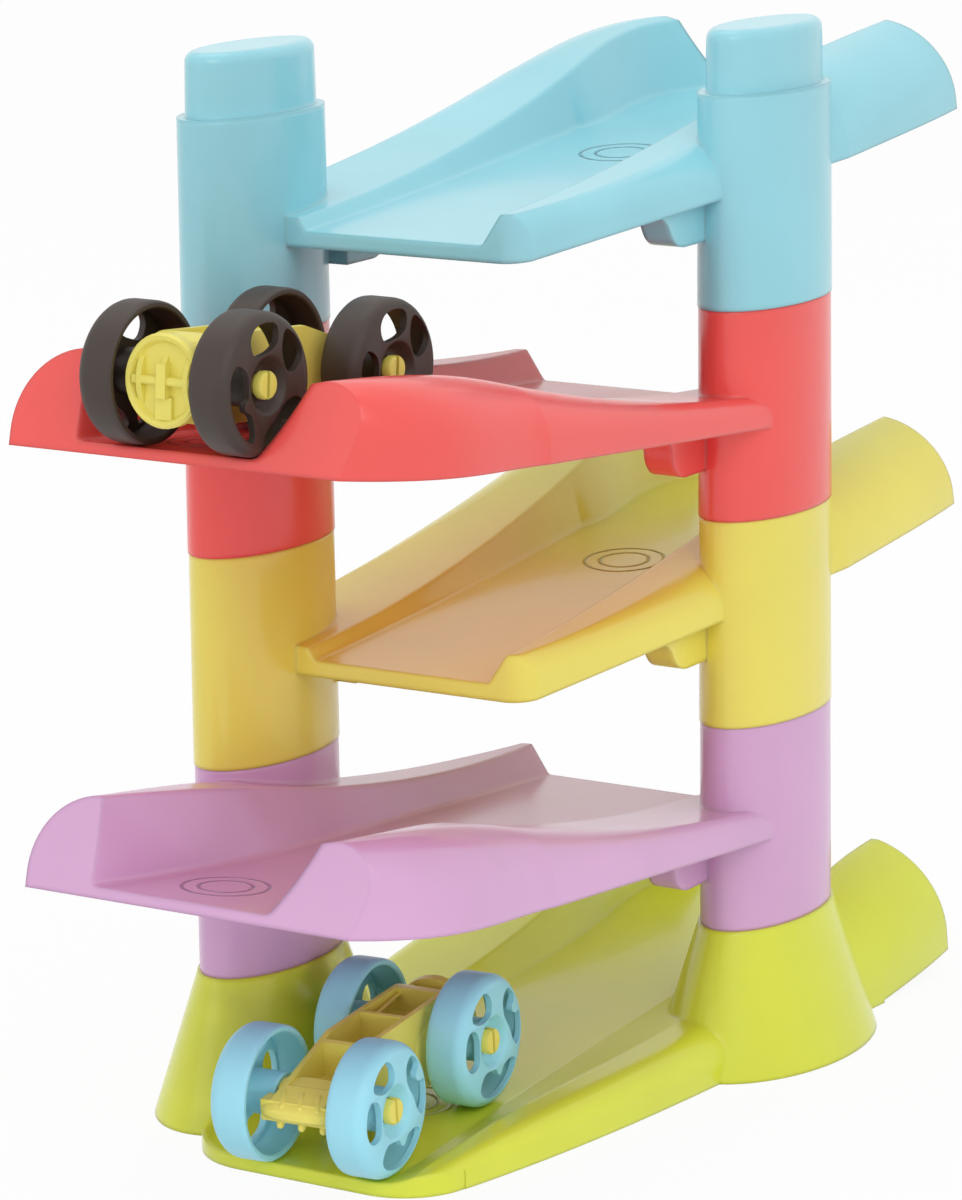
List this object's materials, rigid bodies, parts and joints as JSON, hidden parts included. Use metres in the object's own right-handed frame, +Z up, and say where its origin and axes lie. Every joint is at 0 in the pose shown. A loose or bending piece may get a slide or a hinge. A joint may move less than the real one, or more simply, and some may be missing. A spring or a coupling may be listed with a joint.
{
  "type": "toy car ramp tower",
  "caption": "Stacked zigzag ramp levels on twin oval columns, with small free-wheeling cars that roll down the troughs from level to level.",
  "frame": {"origin": "centre of the whole set's footprint, on the ground it stands on", "axes": "+Z up; X along the ramps, with the base's high end towards +X; Y across them, with the nearer column of the picture on -Y"},
  "size_m": [0.3857, 0.188, 0.3588],
  "materials": {
    "lime_plastic": "satin moulded plastic",
    "lilac_plastic": "satin moulded plastic",
    "yellow_plastic": "satin moulded plastic",
    "coral_plastic": "satin moulded plastic",
    "blue_plastic": "glossy moulded plastic",
    "car_yellow_plastic": "fine matt moulded plastic",
    "blue_wheel_plastic": "smooth matt moulded plastic",
    "brown_wheel_plastic": "smooth matt moulded plastic"
  },
  "bodies": {
    "base": {"green_base": "lime_plastic"},
    "purple": {"purple_level": "lilac_plastic"},
    "yellow": {"yellow_level": "yellow_plastic"},
    "red": {"red_level": "coral_plastic"},
    "blue": {"blue_level": "blue_plastic"},
    "blue_car": {"blue_car_chassis": "car_yellow_plastic"},
    "blue_car_front_left_wheel": {"blue_car_front_left_wheel": "blue_wheel_plastic"},
    "blue_car_front_right_wheel": {"blue_car_front_right_wheel": "blue_wheel_plastic"},
    "blue_car_rear_left_wheel": {"blue_car_rear_left_wheel": "blue_wheel_plastic"},
    "blue_car_rear_right_wheel": {"blue_car_rear_right_wheel": "blue_wheel_plastic"},
    "brown_car": {"brown_car_chassis": "car_yellow_plastic"},
    "brown_car_front_left_wheel": {"brown_car_front_left_wheel": "brown_wheel_plastic"},
    "brown_car_front_right_wheel": {"brown_car_front_right_wheel": "brown_wheel_plastic"},
    "brown_car_rear_left_wheel": {"brown_car_rear_left_wheel": "brown_wheel_plastic"},
    "brown_car_rear_right_wheel": {"brown_car_rear_right_wheel": "brown_wheel_plastic"}
  },
  "joints": [
    {"name": "purple_level_lift", "type": "slide", "parent": "base", "child": "purple", "axis": [0, 0, 1], "range_m": [0, 0.03]},
    {"name": "yellow_level_lift", "type": "slide", "parent": "purple", "child": "yellow", "axis": [0, 0, 1], "range_m": [0, 0.03]},
    {"name": "red_level_lift", "type": "slide", "parent": "yellow", "child": "red", "axis": [0, 0, 1], "range_m": [0, 0.03]},
    {"name": "blue_level_lift", "type": "slide", "parent": "red", "child": "blue", "axis": [0, 0, 1], "range_m": [0, 0.03]},
    {"name": "blue_car_roll", "type": "slide", "parent": "base", "child": "blue_car", "axis": [0.9983, 0, 0.0588], "range_m": [0, 0.17]},
    {"name": "blue_car_front_left_wheel_spin", "type": "hinge", "parent": "blue_car", "child": "blue_car_front_left_wheel", "pos_m": [-0.12609, -0.02728, 0.02788], "axis": [0.0696, -0.9976, 0.0041], "continuous": true},
    {"name": "blue_car_front_right_wheel_spin", "type": "hinge", "parent": "blue_car", "child": "blue_car_front_right_wheel", "pos_m": [-0.12915, 0.01661, 0.0277], "axis": [0.0696, -0.9976, 0.0041], "continuous": true},
    {"name": "blue_car_rear_left_wheel_spin", "type": "hinge", "parent": "blue_car", "child": "blue_car_rear_left_wheel", "pos_m": [-0.05936, -0.02261, 0.03181], "axis": [0.0696, -0.9976, 0.0041], "continuous": true},
    {"name": "blue_car_rear_right_wheel_spin", "type": "hinge", "parent": "blue_car", "child": "blue_car_rear_right_wheel", "pos_m": [-0.06243, 0.02128, 0.03163], "axis": [0.0696, -0.9976, 0.0041], "continuous": true},
    {"name": "brown_car_roll", "type": "slide", "parent": "red", "child": "brown_car", "axis": [-0.9956, 0.047, 0.0807], "range_m": [-0.12, 0]},
    {"name": "brown_car_front_left_wheel_spin", "type": "hinge", "parent": "brown_car", "child": "brown_car_front_left_wheel", "pos_m": [-0.10169, 0.0251, 0.26511], "axis": [0.047, 0.9989, -0.0038], "continuous": true},
    {"name": "brown_car_front_right_wheel_spin", "type": "hinge", "parent": "brown_car", "child": "brown_car_front_right_wheel", "pos_m": [-0.10375, -0.01885, 0.26528], "axis": [0.047, 0.9989, -0.0038], "continuous": true},
    {"name": "brown_car_rear_left_wheel_spin", "type": "hinge", "parent": "brown_car", "child": "brown_car_rear_left_wheel", "pos_m": [-0.16839, 0.02825, 0.27052], "axis": [0.047, 0.9989, -0.0038], "continuous": true},
    {"name": "brown_car_rear_right_wheel_spin", "type": "hinge", "parent": "brown_car", "child": "brown_car_rear_right_wheel", "pos_m": [-0.17046, -0.0157, 0.27069], "axis": [0.047, 0.9989, -0.0038], "continuous": true}
  ]
}
